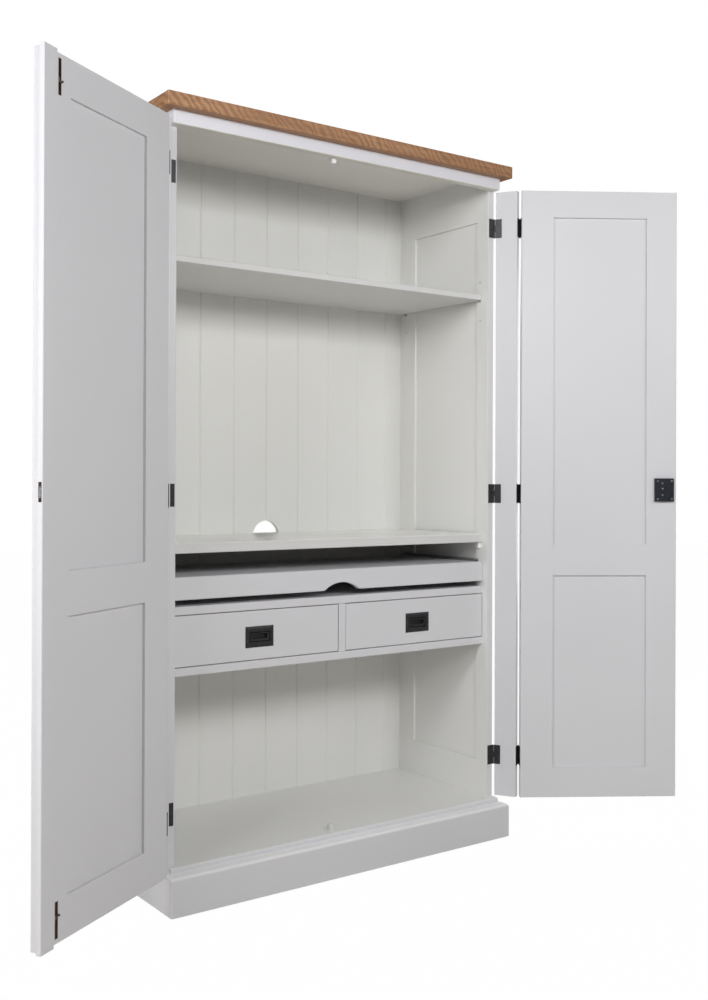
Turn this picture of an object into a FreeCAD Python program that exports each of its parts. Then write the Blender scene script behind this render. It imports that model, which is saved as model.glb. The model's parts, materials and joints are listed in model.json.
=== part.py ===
import FreeCAD, Part
import math
import os

# Computer armoire: a framed carcass on a plinth under an oak top, with fold-back doors hung on
# hinged strips, a shelf, a worktop, a keyboard tray on runners and a pair of drawers.
# Millimetres. X runs to the right, Y to the back and Z up. The origin is on the floor, at the
# middle of the plinth's front face. Doors and strips are drawn shut on the right-hand side, then
# opened to their resting angles, and mirrored for the left-hand side.

# Carcass
carcass_width = 1072.0
carcass_depth = 460.0
side_height = 1853.0
side_thickness = 23.0
side_front_stile = 48.0
side_rear_stile = 90.0
side_bottom_rail = 104.0
side_top_rail = 136.0
side_panel_thickness = 9.0
base_thickness = 13.0
base_edge_round = 5.0
ceiling_thickness = 6.0
fascia_height = 49.0

# Frame and panel joints, and the easing of visible edges
panel_groove_depth = 8.0
panel_edge_gap = 1.0
edge_ease = 1.5

# Small round pieces that repeat have flats all round, near enough to round at their size
small_round_sides = 16

# Plinth
plinth_height = 94.0
plinth_front_projection = 35.0
plinth_side_projection = 14.0
plinth_lap = 10.0
plinth_back_thickness = 20.0
plinth_corner_radius = 4.0
plinth_edge_round = 8.0

# Oak top
top_overhang = 27.0
top_board_thickness = 12.0
top_edge_height = 34.0

# Back boards and the cable hole
back_board_pitch = 112.0
back_board_thickness = 14.0
back_rebate_width = 8.0
back_rebate_depth = 16.0
back_end_clearance = 0.3
back_bevel = 3.0
tongue_thickness = 4.0
tongue_length = 6.0
tongue_clearance = 0.4
cable_hole_width = 90.0
cable_hole_height = 36.0

# Shelf and its pegs
shelf_from_ceiling = 372.0
shelf_thickness = 16.0
shelf_setback = 28.0
shelf_end_clearance = 0.5
peg_radius = 3.0
peg_clearance = 0.05
peg_hole_depth = 10.0
peg_reach = 9.0
peg_pitch = 57.0
peg_front_setback = 35.0
peg_rear_setback = 47.0

# Worktop and its supports
fittings_setback = 19.5
worktop_top_z = 889.0
worktop_thickness = 25.0
support_width = 16.0
support_height = 18.0
support_reach = 10.0

# Keyboard tray and its runners
tray_top_z = 805.5
tray_board_thickness = 18.0
tray_front_height = 57.0
tray_front_thickness = 18.0
tray_front_end_gap = 1.5
tray_rear_gap = 8.0
notch_width = 118.0
notch_height = 21.5
runner_width = 12.5
runner_height = 35.0
runner_sheet = 1.5
runner_clearance = 0.3
runner_front_gap = 1.0

# Drawer case
case_top_z = 732.5
case_board_thickness = 21.0
case_opening_height = 130.5
case_divider_thickness = 22.0

# Drawers
drawer_gap = 2.0
drawer_front_thickness = 18.0
drawer_side_thickness = 12.0
drawer_side_height = 100.0
drawer_rear_gap = 11.5
drawer_bottom_thickness = 6.0
drawer_bottom_lift = 10.0
drawer_groove_depth = 5.0
drawer_running_gap = 0.3

# Drawer handles: a bevelled plate with a sunk cup, and a bail that hangs in the cup
handle_width = 84.0
handle_height = 54.5
handle_thickness = 3.0
handle_rim_thickness = 1.0
handle_bevel = 5.5
handle_drop = 4.0
cup_width = 60.0
cup_height = 26.0
cup_depth = 11.0
cup_wall = 2.0
cup_fit = 0.2
bail_side_gap = 2.0
bail_head_gap = 2.4
bail_foot_gap = 1.5
bail_arm_width = 5.0
bail_grip_height = 6.0
bail_thickness = 3.6
bail_sink = 0.8
bail_pin_radius = 1.5
bail_pin_reach = 1.6
bail_pin_clearance = 0.1

# Doors and the strips that carry them
door_thickness = 22.0
door_gap = 3.0
meeting_gap = 3.0
strip_width = 65.0
strip_inset = 1.0
carcass_hinge_gap = 3.0
fold_hinge_gap = 3.0
door_hinge_stile = 96.0
door_free_stile = 90.0
door_top_rail = 79.0
door_middle_rail = 92.5
door_bottom_rail = 87.0
door_lower_panel_height = 570.0
door_panel_thickness = 8.0
cover_strip_width = 43.0
cover_strip_overhang = 10.0
cover_strip_thickness = 11.0
cover_strip_clearance = 0.3

# Resting angles: each strip from shut, and each door from its strip
right_strip_angle = 120.0
right_door_angle = 26.7
left_strip_angle = 108.3
left_door_angle = 40.4

# Butt hinges
hinge_height = 56.0
hinge_leaf_width = 19.0
hinge_leaf_space = 0.4
knuckle_radius = 2.5
knuckle_clearance = 0.25
knuckle_gap = 0.3
hinge_pin_radius = 1.2
hinge_pin_clearance = 0.1
hinge_from_door_bottom = 121.0
hinge_from_door_top = 108.0

# Flush bolts on the left door
bolt_from_edge = 53.5
bolt_depth = 7.0
bolt_rod_radius = 3.0
bolt_bore_clearance = 0.08
bolt_throw = 10.0
bolt_end_sink = 0.5
bolt_tail = 8.0
bolt_plate_length = 75.0
bolt_plate_width = 9.0
bolt_plate_thickness = 1.5
bolt_plate_margin = 10.0
bolt_knob_from_plate_end = 49.0
bolt_knob_radius = 2.4
bolt_knob_length = 5.0
bolt_knob_reach = 8.0
bolt_stem_radius = 1.6
bolt_slot_clearance = 0.3
keeper_clearance = 0.4
keeper_depth = 9.0

# Rim lock on the right door, and its strike plate on the left door's cover strip
lock_width = 57.0
lock_height = 69.0
lock_thickness = 10.5
lock_above_door_middle = 12.5
lock_strip_gap = 2.0
lock_edge_round = 2.0
lock_bolt_height = 22.0
lock_bolt_thickness = 5.0
lock_bolt_length = 32.0
lock_bolt_sink = 0.5
lock_bolt_clearance = 0.3
lock_throw = 8.0
keyhole_backset = 29.0
keyhole_radius = 3.5
keyhole_slot_width = 3.0
keyhole_slot_length = 11.0
strike_height = 40.0
strike_width = 8.0
strike_thickness = 1.2
strike_clearance = 0.5
pocket_spare_depth = 1.5

# Door stops
stop_from_middle = 47.0
stop_width = 14.0
stop_depth = 12.0
stop_gap = 0.5
stop_foot_height = 17.0
stop_lip_height = 12.0
stop_back_height = 14.0

# Planes across the depth, front to back
plinth_width = carcass_width + 2 * plinth_side_projection
plinth_depth = carcass_depth + plinth_front_projection
plinth_front_y = 0.0
back_y = plinth_depth
face_y = plinth_front_y + plinth_front_projection
door_back_y = face_y + door_thickness
side_front_y = door_back_y + carcass_hinge_gap
fittings_front_y = side_front_y + fittings_setback
back_boards_y = back_y - back_rebate_depth
peg_ys = [side_front_y + peg_front_setback, back_y - peg_rear_setback]

# Planes across the width
outer_x = carcass_width / 2
inner_x = outer_x - side_thickness
strip_outer_x = outer_x - strip_inset
strip_inner_x = strip_outer_x - strip_width
door_hinge_x = strip_inner_x - fold_hinge_gap
door_free_x = meeting_gap / 2
cover_strip_x = door_free_x - cover_strip_overhang
bolt_x = door_free_x + bolt_from_edge
lock_x = lock_strip_gap - cover_strip_x

# Levels
base_top_z = plinth_height + base_thickness
side_top_z = base_top_z + side_height
ceiling_top_z = side_top_z + ceiling_thickness
top_z = ceiling_top_z + top_board_thickness
fascia_z = side_top_z - fascia_height
door_bottom_z = base_top_z + door_gap
door_top_z = fascia_z - door_gap
door_middle_z = (door_bottom_z + door_top_z) / 2
hinge_zs = [
    door_bottom_z + hinge_from_door_bottom,
    door_middle_z,
    door_top_z - hinge_from_door_top,
]
lock_centre_z = door_middle_z + lock_above_door_middle
shelf_underside_z = side_top_z - shelf_from_ceiling
opening_top_z = case_top_z - case_board_thickness
opening_bottom_z = opening_top_z - case_opening_height

# Hinge axes, shut, as points on the floor plan
knuckle_reach = knuckle_radius + knuckle_clearance
carcass_hinge_root = math.sqrt(knuckle_reach ** 2 - (carcass_hinge_gap / 2) ** 2)
fold_hinge_root = math.sqrt(knuckle_reach ** 2 - (fold_hinge_gap / 2) ** 2)
UP = FreeCAD.Vector(0, 0, 1)
ORIGIN = FreeCAD.Vector(0, 0, 0)
ACROSS = FreeCAD.Vector(1, 0, 0)
BACKWARD = FreeCAD.Vector(0, 1, 0)
carcass_axis = FreeCAD.Vector(outer_x + carcass_hinge_root, side_front_y - carcass_hinge_gap / 2, 0)
fold_axis = FreeCAD.Vector(door_hinge_x + fold_hinge_gap / 2, face_y - fold_hinge_root, 0)


def box(x0, x1, y0, y1, z0, z1):
    """A block between two planes on each axis."""
    return Part.makeBox(x1 - x0, y1 - y0, z1 - z0, FreeCAD.Vector(x0, y0, z0))


def rod(radius, start, direction, length):
    """A round bar from a start point along a direction."""
    return Part.makeCylinder(radius, length, FreeCAD.Vector(*start), direction)


def prism(points, direction):
    """A straight bar whose section has the given corners."""
    corners = [FreeCAD.Vector(*point) for point in points]
    return Part.Face(Part.makePolygon(corners + corners[:1])).extrude(direction)


def small_rod(radius, start, direction, length):
    """A small round bar with flats all round."""
    centre = FreeCAD.Vector(*start)
    spoke = (ACROSS if on_plane(abs(direction.z), 1) else UP) * radius
    step = 360 / small_round_sides
    turns = [FreeCAD.Rotation(direction, index * step) for index in range(small_round_sides)]
    return prism([centre + turn.multVec(spoke) for turn in turns], direction * length)


def mirrored(shape):
    """The same piece on the other side of the middle."""
    return shape.mirror(ORIGIN, ACROSS)


def picked(shape, keep):
    """The edges whose middle passes a test."""
    return [edge for edge in shape.Edges if keep(edge.CenterOfMass)]


def rounded(shape, keep, radius):
    """Round the edges that pass a test."""
    return shape.makeFillet(radius, picked(shape, keep))


def eased(shape, keep, bevel=edge_ease):
    """Take the sharpness off the edges that pass a test."""
    return shape.makeChamfer(bevel, picked(shape, keep))


def on_plane(value, plane):
    """Whether a coordinate lies on a plane."""
    return abs(value - plane) < 1e-6


def hang(shape, side, on_door):
    """Open a right-hand piece to its resting angle, and mirror it for the left."""
    strip_angle, door_angle = {
        "left": (left_strip_angle, left_door_angle),
        "right": (right_strip_angle, right_door_angle),
    }[side]
    if on_door:
        shape = shape.rotated(fold_axis, UP, door_angle)
    shape = shape.rotated(carcass_axis, UP, strip_angle)
    return mirrored(shape) if side == "left" else shape


def save(name, solids):
    """Write one node, a single solid or a group of like solids."""
    shape = solids[0] if len(solids) == 1 else Part.makeCompound(solids)
    shape.exportStep("parts/" + name + ".step")


def build_plinth():
    """A skirting frame whose boards reach in under the base board, rounded on three sides."""
    half = plinth_width / 2
    block = box(-half, half, plinth_front_y, back_y, 0, plinth_height)
    block = rounded(
        block,
        lambda middle: on_plane(middle.y, plinth_front_y) and on_plane(middle.z, plinth_height / 2),
        plinth_corner_radius,
    )
    block = rounded(
        block,
        lambda middle: on_plane(middle.z, plinth_height) and not on_plane(middle.y, back_y),
        plinth_edge_round,
    )
    front_inside = face_y + plinth_lap
    side_inside = outer_x - plinth_lap
    back_inside = back_y - plinth_back_thickness
    frame = block.cut(box(-side_inside, side_inside, front_inside, back_inside, 0, plinth_height))
    front = frame.common(box(-half, half, plinth_front_y, front_inside, 0, plinth_height))
    right = box(side_inside, half, front_inside, back_y, 0, plinth_height)
    back = box(-side_inside, side_inside, back_inside, back_y, 0, plinth_height)
    save("plinth_front", front.Solids)
    save("plinth_returns", [
        frame.common(right).Solids[0],
        frame.common(mirrored(right)).Solids[0],
        frame.common(back).Solids[0],
    ])


def panel_slot(panel_box, across):
    """The groove that a panel's edges sit in, a little wider in its plane than the panel."""
    x0, x1, y0, y1, z0, z1 = panel_box
    gap = panel_edge_gap
    if across == "y":
        return box(x0, x1, y0 - gap, y1 + gap, z0 - gap, z1 + gap)
    return box(x0 - gap, x1 + gap, y0, y1, z0 - gap, z1 + gap)


def build_sides():
    """Two framed sides, with peg holes, panel grooves and a rebate for the back boards."""
    front_end = side_front_y + side_front_stile
    rear_start = back_y - side_rear_stile
    lower = base_top_z + side_bottom_rail
    upper = side_top_z - side_top_rail
    middle_x = inner_x + side_thickness / 2
    tuck = panel_groove_depth - panel_edge_gap
    panel_box = (
        middle_x - side_panel_thickness / 2, middle_x + side_panel_thickness / 2,
        front_end - tuck, rear_start + tuck, lower - tuck, upper + tuck,
    )
    slot = panel_slot(panel_box, "y")
    front_stile = box(inner_x, outer_x, side_front_y, front_end, base_top_z, side_top_z)
    front_stile = eased(
        front_stile,
        lambda middle: on_plane(middle.y, side_front_y) and base_top_z < middle.z < side_top_z,
    )
    rear_stile = box(inner_x, outer_x, rear_start, back_y, base_top_z, side_top_z)
    rebate = box(inner_x, inner_x + back_rebate_width, back_boards_y, back_y, base_top_z, side_top_z)
    stiles = [front_stile.cut(slot), rear_stile.cut(rebate).cut(slot)]
    for index, y in enumerate(peg_ys):
        for row in (-1, 0, 1):
            start = (inner_x, y, peg_axis_z() + row * peg_pitch)
            stiles[index] = stiles[index].cut(small_rod(peg_radius, start, ACROSS, peg_hole_depth))
    rails = [
        box(inner_x, outer_x, front_end, rear_start, base_top_z, lower).cut(slot),
        box(inner_x, outer_x, front_end, rear_start, upper, side_top_z).cut(slot),
    ]
    panel = box(*panel_box)
    for name, pieces in (("stiles", stiles), ("rails", rails), ("panel", [panel])):
        save("right_side_" + name, pieces)
        save("left_side_" + name, [mirrored(piece) for piece in pieces])


def peg_axis_z():
    """The shelf lies on the pegs."""
    return shelf_underside_z - peg_radius + peg_clearance


def arch(width, rise, front, depth, low):
    """The room of an arched opening at the middle, from front to back."""
    radius = ((width / 2) ** 2 + rise ** 2) / (2 * rise)
    whole = rod(radius, (0, front, low + rise - radius), BACKWARD, depth)
    return whole.common(box(-radius, radius, front, front + depth, low, low + rise))


def build_back():
    """Tongue-and-groove boards with bevelled joints, shared out from the middle."""
    front = back_boards_y
    rear = back_boards_y + back_board_thickness
    half = inner_x + back_rebate_width - back_end_clearance
    count = math.ceil(half / back_board_pitch - 0.1)
    joints = [index * back_board_pitch for index in range(1 - count, count)]
    edges = [-half] + joints + [half]
    tongue_y = (front + rear) / 2
    thick = tongue_thickness / 2
    slot = thick + tongue_clearance / 2
    slot_length = tongue_length + tongue_clearance
    boards = []
    for left, right in zip(edges, edges[1:]):
        outline = [(left, rear)]
        if left in joints:
            outline += [(left, tongue_y + slot), (left + slot_length, tongue_y + slot)]
            outline += [(left + slot_length, tongue_y - slot), (left, tongue_y - slot)]
        outline += [(left, front + back_bevel), (left + back_bevel, front)]
        outline += [(right - back_bevel, front), (right, front + back_bevel)]
        if right in joints:
            outline += [(right, tongue_y - thick), (right + tongue_length, tongue_y - thick)]
            outline += [(right + tongue_length, tongue_y + thick), (right, tongue_y + thick)]
        outline += [(right, rear)]
        points = [(x, y, base_top_z) for x, y in outline]
        boards.append(prism(points, UP * side_height))
    hole = arch(cable_hole_width, cable_hole_height, front, back_board_thickness, worktop_top_z)
    save("back_boards", [board.cut(hole).Solids[0] for board in boards])


def build_base_and_top():
    """Base board, fascia, ceiling panel and the oak top with its deep edge."""
    keeper_radius = bolt_rod_radius + keeper_clearance
    keeper_y = door_back_y - bolt_depth
    base = box(-outer_x, outer_x, face_y, back_y, plinth_height, base_top_z)
    base = rounded(
        base,
        lambda middle: on_plane(middle.y, face_y) and on_plane(middle.z, base_top_z),
        base_edge_round,
    )
    base = base.cut(
        small_rod(keeper_radius, (-bolt_x, keeper_y, base_top_z - keeper_depth), UP, keeper_depth)
    )
    fascia = box(-outer_x, outer_x, face_y, side_front_y, fascia_z, side_top_z)
    fascia = eased(fascia, lambda middle: on_plane(middle.y, face_y) and on_plane(middle.z, fascia_z))
    fascia = fascia.cut(small_rod(keeper_radius, (-bolt_x, keeper_y, fascia_z), UP, keeper_depth))
    ceiling = box(-outer_x, outer_x, face_y, back_y, side_top_z, ceiling_top_z)
    half = outer_x + top_overhang
    front = face_y - top_overhang
    rim_z = top_z - top_edge_height
    top = box(-half, half, front, back_y, rim_z, top_z)
    top = eased(
        top,
        lambda middle: not on_plane(middle.y, back_y) and (
            on_plane(abs(middle.x), half) or on_plane(middle.y, front)
        ),
    )
    top = top.cut(box(-outer_x, outer_x, face_y, back_y, rim_z, ceiling_top_z))
    save("base_board", [base])
    save("fascia_rail", [fascia])
    save("ceiling_panel", [ceiling])
    save("top_slab", [top])


def build_shelf():
    """An adjustable shelf on four pegs."""
    end = inner_x - shelf_end_clearance
    front = side_front_y + shelf_setback
    shelf = box(-end, end, front, back_boards_y, shelf_underside_z, shelf_underside_z + shelf_thickness)
    shelf = eased(shelf, lambda middle: on_plane(middle.y, front) and on_plane(middle.x, 0))
    pegs = []
    for y in peg_ys:
        start = (inner_x - peg_reach, y, peg_axis_z())
        length = peg_reach + peg_hole_depth - peg_clearance
        peg = small_rod(peg_radius - peg_clearance, start, ACROSS, length)
        pegs += [peg, mirrored(peg)]
    save("shelf", [shelf])
    save("shelf_pegs", pegs)


def build_worktop():
    """A fixed worktop on four small blocks."""
    under = worktop_top_z - worktop_thickness
    worktop = box(-inner_x, inner_x, fittings_front_y, back_boards_y, under, worktop_top_z)
    worktop = eased(worktop, lambda middle: on_plane(middle.y, fittings_front_y) and on_plane(middle.x, 0))
    blocks = []
    for y in peg_ys:
        block = box(
            inner_x - support_reach, inner_x,
            y - support_width / 2, y + support_width / 2,
            under - support_height, under,
        )
        block = eased(block, lambda middle: on_plane(middle.x, inner_x - support_reach)
                      and not on_plane(middle.z, under))
        blocks += [block, mirrored(block)]
    save("worktop", [worktop])
    save("worktop_supports", blocks)


def build_tray():
    """Keyboard tray: a board, a front board with a finger notch, and runners at both ends."""
    front = fittings_front_y
    front_back = front + tray_front_thickness
    end = inner_x - tray_front_end_gap
    low = tray_top_z - tray_front_height
    face = box(-end, end, front, front_back, low, tray_top_z)
    face = eased(face, lambda middle: on_plane(middle.y, front) and on_plane(middle.x, 0))
    notch = arch(notch_width, notch_height, front, tray_front_thickness, low)
    channel_front = front_back + runner_front_gap
    channel_back = back_y - peg_rear_setback
    length = channel_back - channel_front
    edge = inner_x - runner_width - runner_clearance
    under = tray_top_z - tray_board_thickness
    board = box(-edge, edge, front_back, channel_back - tray_rear_gap, under, tray_top_z)
    middle_z = (under + tray_top_z) / 2
    z0 = middle_z - runner_height / 2
    z1 = middle_z + runner_height / 2
    sheet = runner_sheet
    mouth = inner_x - runner_width
    web = inner_x - sheet
    channel = prism([
        (inner_x, channel_front, z0), (mouth, channel_front, z0),
        (mouth, channel_front, z0 + sheet), (web, channel_front, z0 + sheet),
        (web, channel_front, z1 - sheet), (mouth, channel_front, z1 - sheet),
        (mouth, channel_front, z1), (inner_x, channel_front, z1),
    ], BACKWARD * length)
    s0 = z0 + sheet + runner_clearance
    s1 = z1 - sheet - runner_clearance
    tip = web - runner_clearance
    slide = prism([
        (edge, channel_front, s0), (tip, channel_front, s0),
        (tip, channel_front, s0 + sheet), (edge + sheet, channel_front, s0 + sheet),
        (edge + sheet, channel_front, s1 - sheet), (tip, channel_front, s1 - sheet),
        (tip, channel_front, s1), (edge, channel_front, s1),
    ], BACKWARD * (length - tray_rear_gap))
    save("tray_front", [face.cut(notch)])
    save("tray_board", [board])
    save("tray_runner_channels", [channel, mirrored(channel)])
    save("tray_runner_slides", [slide, mirrored(slide)])


def build_drawer_case():
    """A fixed case across the carcass with a divider between the drawers."""
    front = fittings_front_y
    half = case_divider_thickness / 2
    bottom_z = opening_bottom_z - case_board_thickness
    top = box(-inner_x, inner_x, front, back_boards_y, opening_top_z, case_top_z)
    bottom = box(-inner_x, inner_x, front, back_boards_y, bottom_z, opening_bottom_z)
    divider = box(-half, half, front, back_boards_y, opening_bottom_z, opening_top_z)
    save("drawer_case_top", [
        eased(top, lambda middle: on_plane(middle.y, front) and on_plane(middle.x, 0))
    ])
    save("drawer_case_bottom", [
        eased(bottom, lambda middle: on_plane(middle.y, front) and on_plane(middle.x, 0))
    ])
    save("drawer_case_divider", [divider])


def bevelled_plate(x0, x1, front, back, z0, z1):
    """A plate whose front slopes down to a thin rim all round, with mitred corners."""
    def section(low, high):
        rim = back - handle_rim_thickness
        sloped = [(low, rim), (low + handle_bevel, front), (high - handle_bevel, front), (high, rim)]
        return [(low, back)] + sloped + [(high, back)]

    across = prism([(x, y, z0) for x, y in section(x0, x1)], UP * (z1 - z0))
    upright = prism([(x0, y, z) for z, y in section(z0, z1)], ACROSS * (x1 - x0))
    return across.common(upright)


def build_handle(centre_x, centre_z):
    """A bevelled plate with a sunk cup, and a ring bail on pins in the cup's side walls."""
    front = fittings_front_y - handle_thickness
    back = fittings_front_y
    plate = bevelled_plate(
        centre_x - handle_width / 2, centre_x + handle_width / 2, front, back,
        centre_z - handle_height / 2, centre_z + handle_height / 2,
    )
    cup_x0 = centre_x - cup_width / 2
    cup_x1 = centre_x + cup_width / 2
    cup_z0 = centre_z - cup_height / 2
    cup_z1 = centre_z + cup_height / 2
    cup_back = front + cup_depth
    shell = box(
        cup_x0 - cup_wall, cup_x1 + cup_wall, back, cup_back + cup_wall,
        cup_z0 - cup_wall, cup_z1 + cup_wall,
    )
    hollow = box(cup_x0, cup_x1, front, cup_back, cup_z0, cup_z1)
    axis_y = front + bail_sink + bail_thickness / 2
    axis_z = cup_z1 - bail_head_gap - bail_thickness / 2
    pin_length = cup_width + 2 * bail_pin_reach
    pin_start = (cup_x0 - bail_pin_reach, axis_y, axis_z)
    pin_hole = small_rod(bail_pin_radius + bail_pin_clearance, pin_start, ACROSS, pin_length)
    plate = plate.fuse(shell).cut(hollow).cut(pin_hole).removeSplitter()
    ring_x0 = cup_x0 + bail_side_gap
    ring_x1 = cup_x1 - bail_side_gap
    ring_z0 = cup_z0 + bail_foot_gap
    half = bail_thickness / 2
    ring = box(ring_x0, ring_x1, axis_y - half, axis_y + half, ring_z0, axis_z)
    ring = rounded(ring, lambda middle: on_plane(middle.z, ring_z0), half / 2)
    window = box(
        ring_x0 + bail_arm_width, ring_x1 - bail_arm_width, axis_y - half, axis_y + half,
        ring_z0 + bail_grip_height, axis_z,
    )
    barrel = small_rod(half, (ring_x0, axis_y, axis_z), ACROSS, ring_x1 - ring_x0)
    pin = small_rod(bail_pin_radius, pin_start, ACROSS, pin_length)
    bail = ring.cut(window).fuse([barrel, pin]).removeSplitter()
    mortise = box(
        cup_x0 - cup_wall - cup_fit, cup_x1 + cup_wall + cup_fit, back, cup_back + cup_wall + cup_fit,
        cup_z0 - cup_wall - cup_fit, cup_z1 + cup_wall + cup_fit,
    )
    return plate, bail, mortise


def build_drawers():
    """Two inset drawers: a front, two sides and a back, and a bottom held in grooves."""
    front = fittings_front_y
    front_back = front + drawer_front_thickness
    rear = back_boards_y - drawer_rear_gap
    x0 = case_divider_thickness / 2 + drawer_gap
    x1 = inner_x - drawer_gap
    z0 = opening_bottom_z + drawer_gap
    z1 = opening_top_z - drawer_gap
    side = drawer_side_thickness
    low = opening_bottom_z + drawer_running_gap
    high = low + drawer_side_height
    bottom_z = low + drawer_bottom_lift
    bottom = box(
        x0 + side - drawer_groove_depth, x1 - side + drawer_groove_depth,
        front_back - drawer_groove_depth, rear, bottom_z, bottom_z + drawer_bottom_thickness,
    )
    sides = [
        box(x0, x0 + side, front_back, rear, low, high).cut(bottom),
        box(x1 - side, x1, front_back, rear, low, high).cut(bottom),
        box(x0 + side, x1 - side, rear - side, rear, bottom_z + drawer_bottom_thickness, high),
    ]
    face = box(x0, x1, front, front_back, z0, z1)
    face = eased(face, lambda middle: on_plane(middle.y, front))
    plate, bail, mortise = build_handle((x0 + x1) / 2, (z0 + z1) / 2 - handle_drop)
    face = face.cut(bottom).cut(mortise)
    for name, pieces in (
        ("front", [face]), ("box", sides), ("bottom", [bottom]), ("handle_plate", [plate]), ("bail", [bail]),
    ):
        save("right_drawer_" + name, pieces)
        save("left_drawer_" + name, [mirrored(piece) for piece in pieces])


def knuckle_spans():
    """Heights of a hinge's outer knuckles and of its middle knuckle."""
    third = hinge_height / 3
    gap = knuckle_gap / 2
    outer = [(0, third - gap), (2 * third + gap, hinge_height)]
    middle = [(third + gap, 2 * third - gap)]
    return outer, middle


def hinge_leaf(gap, root, sign, own, other):
    """A leaf on one side of a gap, about an upright axis at the origin, reaching along -X."""
    near = sign * hinge_leaf_space / 2
    far = sign * gap / 2
    leaf = box(-root - hinge_leaf_width, 0, min(near, far), max(near, far), 0, hinge_height)
    for z0, z1 in other:
        room = small_rod(knuckle_reach, (0, 0, z0 - knuckle_gap), UP, z1 - z0 + 2 * knuckle_gap)
        leaf = leaf.cut(room)
    leaf = leaf.fuse([small_rod(knuckle_radius, (0, 0, z0), UP, z1 - z0) for z0, z1 in own])
    leaf = leaf.cut(small_rod(hinge_pin_radius + hinge_pin_clearance, (0, 0, 0), UP, hinge_height))
    return leaf.removeSplitter()


def build_hinges():
    """Butt hinges: three from carcass to strip and three from strip to door, on each side."""
    outer, middle = knuckle_spans()
    quarter_turn = -90
    carcass_leaf = hinge_leaf(carcass_hinge_gap, carcass_hinge_root, 1, outer, middle)
    strip_leaf = hinge_leaf(carcass_hinge_gap, carcass_hinge_root, -1, middle, outer)
    fold_leaf = hinge_leaf(fold_hinge_gap, fold_hinge_root, 1, outer, middle)
    door_leaf = hinge_leaf(fold_hinge_gap, fold_hinge_root, -1, middle, outer)
    fold_leaf = fold_leaf.rotated(ORIGIN, UP, quarter_turn)
    door_leaf = door_leaf.rotated(ORIGIN, UP, quarter_turn)
    pin = small_rod(hinge_pin_radius, (0, 0, 0), UP, hinge_height)
    lifts = [FreeCAD.Vector(0, 0, z - hinge_height / 2) for z in hinge_zs]
    carcass_leaves = [carcass_leaf.translated(carcass_axis + lift) for lift in lifts]
    carcass_pins = [pin.translated(carcass_axis + lift) for lift in lifts]
    strip_leaves = [strip_leaf.translated(carcass_axis + lift) for lift in lifts]
    strip_leaves += [fold_leaf.translated(fold_axis + lift) for lift in lifts]
    strip_pins = [pin.translated(fold_axis + lift) for lift in lifts]
    door_leaves = [door_leaf.translated(fold_axis + lift) for lift in lifts]
    save("right_carcass_hinges", carcass_leaves)
    save("left_carcass_hinges", [mirrored(leaf) for leaf in carcass_leaves])
    save("carcass_hinge_pins", carcass_pins + [mirrored(one) for one in carcass_pins])
    for side in ("left", "right"):
        save(side + "_strip_hinges", [hang(leaf, side, False) for leaf in strip_leaves])
        save(side + "_strip_hinge_pins", [hang(one, side, False) for one in strip_pins])
        save(side + "_door_hinges", [hang(leaf, side, True) for leaf in door_leaves])


def long_edges(shape, planes):
    """Ease the upright edges that lie on the given planes of X."""
    return eased(
        shape,
        lambda middle: on_plane(middle.z, door_middle_z)
        and any(on_plane(middle.x, plane) for plane in planes),
    )


def build_bolt(end_z, inward):
    """A flush bolt at one end of the left door: its plate, its rod with a knob, and their room."""
    inner_face = door_back_y
    axis_y = inner_face - bolt_depth
    plate_near = end_z + inward * bolt_plate_margin
    plate_far = plate_near + inward * bolt_plate_length
    half = bolt_plate_width / 2
    plate = box(
        bolt_x - half, bolt_x + half, inner_face - bolt_plate_thickness, inner_face,
        min(plate_near, plate_far), max(plate_near, plate_far),
    )
    knob_z = plate_near + inward * bolt_knob_from_plate_end
    rod_end = end_z + inward * bolt_end_sink
    tail = knob_z + inward * bolt_tail
    along = UP * inward
    bolt = small_rod(bolt_rod_radius, (bolt_x, axis_y, rod_end), along, abs(tail - rod_end))
    stem_length = bolt_depth + bolt_knob_reach
    knob_y = inner_face + bolt_knob_reach - bolt_knob_length
    bolt = bolt.fuse([
        small_rod(bolt_stem_radius, (bolt_x, axis_y, knob_z), BACKWARD, stem_length),
        rod(bolt_knob_radius, (bolt_x, knob_y, knob_z), BACKWARD, bolt_knob_length),
    ]).removeSplitter()
    slack = bolt_stem_radius + bolt_slot_clearance
    slot_near = knob_z - inward * (bolt_throw + slack)
    slot_far = knob_z + inward * slack
    slot = box(
        bolt_x - slack, bolt_x + slack, axis_y, inner_face,
        min(slot_near, slot_far), max(slot_near, slot_far),
    )
    bore_length = abs(tail - end_z) + bolt_bore_clearance
    bore = small_rod(bolt_rod_radius + bolt_bore_clearance, (bolt_x, axis_y, end_z), along, bore_length)
    room = bore.fuse([slot, plate])
    return plate.cut(slot), bolt, room


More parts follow.
